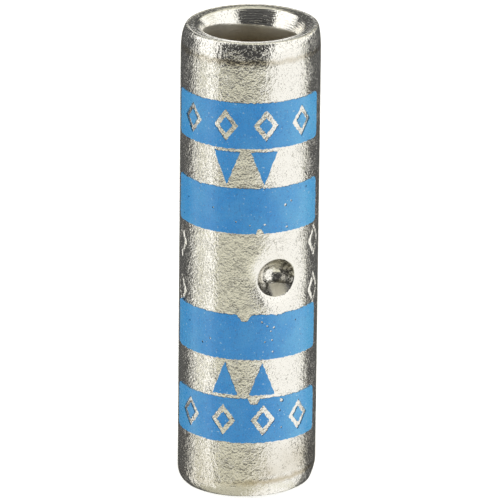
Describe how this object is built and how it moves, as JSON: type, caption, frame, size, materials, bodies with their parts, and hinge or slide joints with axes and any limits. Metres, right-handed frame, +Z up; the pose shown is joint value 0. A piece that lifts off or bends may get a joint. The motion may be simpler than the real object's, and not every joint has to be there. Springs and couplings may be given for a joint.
{
  "type": "butt splice connector",
  "caption": "Plain metal tube with a punched wire stop at mid-length, chamfered mouths and printed crimp guide bands, which joins two stranded conductors end to end by crimping.",
  "frame": {"origin": "centre of the lower end, on the barrel's axis", "axes": "+Z runs up the barrel's axis, and the printed side faces -Y"},
  "size_m": [0.0074, 0.0074, 0.0254],
  "materials": {
    "tin": "bright tin plating on copper, with a fine tumbled texture",
    "ink": "thin satin printing ink"
  },
  "bodies": {
    "root": {"barrel": "tin", "upper_end_band": "ink", "upper_inner_band": "ink", "lower_inner_band": "ink", "lower_end_band": "ink", "upper_arrows": "ink", "lower_arrows": "ink"}
  },
  "joints": []
}
